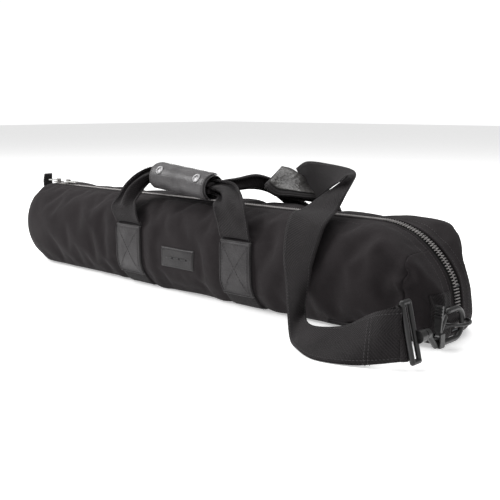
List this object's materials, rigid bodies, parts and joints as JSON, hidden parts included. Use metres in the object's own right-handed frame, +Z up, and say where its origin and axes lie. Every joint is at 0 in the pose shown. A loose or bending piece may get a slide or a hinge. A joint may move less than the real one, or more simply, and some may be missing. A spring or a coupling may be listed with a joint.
{
  "type": "padded tubular carry bag",
  "caption": "Long padded round carry bag with a clamshell zip, wrapped twin carry handle, snap hooks and a clip-on shoulder strap with pad.",
  "frame": {"origin": "on the floor, in the bag's middle plane, 369.5 mm in from the far end", "axes": "+X along the bag to the opening end, -Y towards the front with the label, +Z up"},
  "size_m": [0.7926, 0.2982, 0.1701],
  "materials": {
    "canvas": "matte woven black nylon canvas",
    "foam": "closed-cell foam",
    "lining": "smooth dark lining cloth",
    "zip_tape": "woven zip tape",
    "zip_coil": "moulded nylon coil",
    "slider_metal": "dark lacquered zinc",
    "pull_metal": "bright nickel",
    "webbing": "ribbed woven nylon webbing",
    "patch_leather": "smooth dark grey leather",
    "label_leather": "embossed black leather",
    "grip_leather": "smooth grey leather",
    "snap_metal": "gunmetal snap",
    "hook_metal": "gunmetal lacquered zinc",
    "pad_fabric": "padded nylon",
    "pad_rubber": "pebbled anti-slip face",
    "adjuster_plastic": "satin moulded acetal"
  },
  "bodies": {
    "root": {"base_panel": "canvas", "body_lining": "lining", "far_end_cap": "canvas", "far_end_foam": "foam", "far_pull_tab": "label_leather", "far_strap_loop": "hook_metal", "far_tab": "webbing", "front_foam": "foam", "front_panel": "canvas", "handle_leg_front_far": "webbing", "handle_leg_front_near": "webbing", "handle_leg_rear_far": "webbing", "handle_leg_rear_near": "webbing", "label": "label_leather", "near_end_panel": "canvas", "near_strap_loop": "hook_metal", "near_tab": "webbing", "pad_grip_face": "pad_rubber", "patch_front_far": "patch_leather", "patch_front_near": "patch_leather", "rear_foam": "foam", "rear_panel": "canvas", "rear_patches": "patch_leather", "shoulder_pad": "pad_fabric", "strap_far_run": "webbing", "strap_near_floor": "webbing", "strap_rear_run": "webbing", "strap_riser": "webbing", "strap_top_loop": "webbing", "webbing_band_far": "webbing", "webbing_band_near": "webbing", "zip_coil_front": "zip_coil", "zip_coil_rear": "zip_coil", "zip_tape_front": "zip_tape", "zip_tape_rear": "zip_tape"},
    "end_flap": {"end_flap_shell": "canvas", "end_flap_foam": "foam", "end_flap_lining": "lining", "zip_tape_flap": "zip_tape", "zip_coil_flap": "zip_coil"},
    "slider_a": {"zip_slider_a": "slider_metal"},
    "pull_a": {"zip_pull_a": "pull_metal"},
    "slider_b": {"zip_slider_b": "slider_metal"},
    "pull_b": {"zip_pull_b": "pull_metal"},
    "grip": {"grip_sleeve": "grip_leather", "handle_core_front": "webbing", "handle_core_rear": "webbing", "snap_studs": "snap_metal"},
    "grip_flap": {"grip_flap": "grip_leather", "snap_caps": "snap_metal"},
    "near_ring": {"near_d_ring": "hook_metal"},
    "near_hook": {"near_hook_body": "hook_metal", "near_gate_pin": "hook_metal"},
    "near_gate": {"near_hook_gate": "hook_metal"},
    "far_ring": {"far_d_ring": "hook_metal"},
    "far_hook": {"far_hook_body": "hook_metal", "far_gate_pin": "hook_metal"},
    "far_gate": {"far_hook_gate": "hook_metal"},
    "adjuster": {"strap_adjuster": "adjuster_plastic"}
  },
  "joints": [
    {"name": "end_flap_open", "type": "hinge", "parent": "root", "child": "end_flap", "pos_m": [0.3, 0.072, 0.058], "axis": [-1, 0, 0], "range_deg": [0, 75]},
    {"name": "slider_a_travel", "type": "slide", "parent": "root", "child": "slider_a", "axis": [1, 0, 0], "range_m": [0, 0.52]},
    {"name": "pull_a_lift", "type": "hinge", "parent": "slider_a", "child": "pull_a", "pos_m": [-0.298, -0.012, 0.123], "axis": [0, -1, 0], "range_deg": [0, 150]},
    {"name": "slider_b_travel", "type": "slide", "parent": "root", "child": "slider_b", "axis": [1, 0, 0], "range_m": [-0.002, 0.006]},
    {"name": "pull_b_lift", "type": "hinge", "parent": "slider_b", "child": "pull_b", "pos_m": [-0.324, -0.012, 0.123], "axis": [0, 1, 0], "range_deg": [0, 90]},
    {"name": "handle_lift", "type": "slide", "parent": "root", "child": "grip", "axis": [0, 0, 1], "range_m": [0, 0.035], "deforming": ["handle_leg_front_far", "handle_leg_front_near", "handle_leg_rear_far", "handle_leg_rear_near"]},
    {"name": "grip_flap_open", "type": "hinge", "parent": "grip", "child": "grip_flap", "pos_m": [-0.00252, -0.02708, 0.15844], "axis": [-0.9959, 0, 0.091], "range_deg": [0, 100]},
    {"name": "near_ring_swing", "type": "hinge", "parent": "root", "child": "near_ring", "pos_m": [0.3882, -0.039, 0.03], "axis": [0, 1, 0], "range_deg": [-10, 10]},
    {"name": "near_hook_swivel", "type": "hinge", "parent": "root", "child": "near_hook", "pos_m": [0.395, -0.096, 0.03], "axis": [0, 1, 0], "range_deg": [-18, 18]},
    {"name": "near_gate_open", "type": "hinge", "parent": "near_hook", "child": "near_gate", "pos_m": [0.395, -0.0765, 0.022], "axis": [-1, 0, 0], "range_deg": [0, 22], "stiffness_Nm_per_rad": 0.02},
    {"name": "far_ring_swing", "type": "hinge", "parent": "root", "child": "far_ring", "pos_m": [-0.367, 0.024, 0.03], "axis": [0, 1, 0], "range_deg": [-10, 10]},
    {"name": "far_hook_swivel", "type": "hinge", "parent": "root", "child": "far_hook", "pos_m": [-0.3738, 0.081, 0.03], "axis": [0, 1, 0], "range_deg": [-18, 18]},
    {"name": "far_gate_open", "type": "hinge", "parent": "far_hook", "child": "far_gate", "pos_m": [-0.3738, 0.0615, 0.022], "axis": [1, 0, 0], "range_deg": [0, 22], "stiffness_Nm_per_rad": 0.02},
    {"name": "adjuster_slide", "type": "slide", "parent": "root", "child": "adjuster", "axis": [1, 0, 0], "range_m": [-0.1, 0.15]}
  ]
}
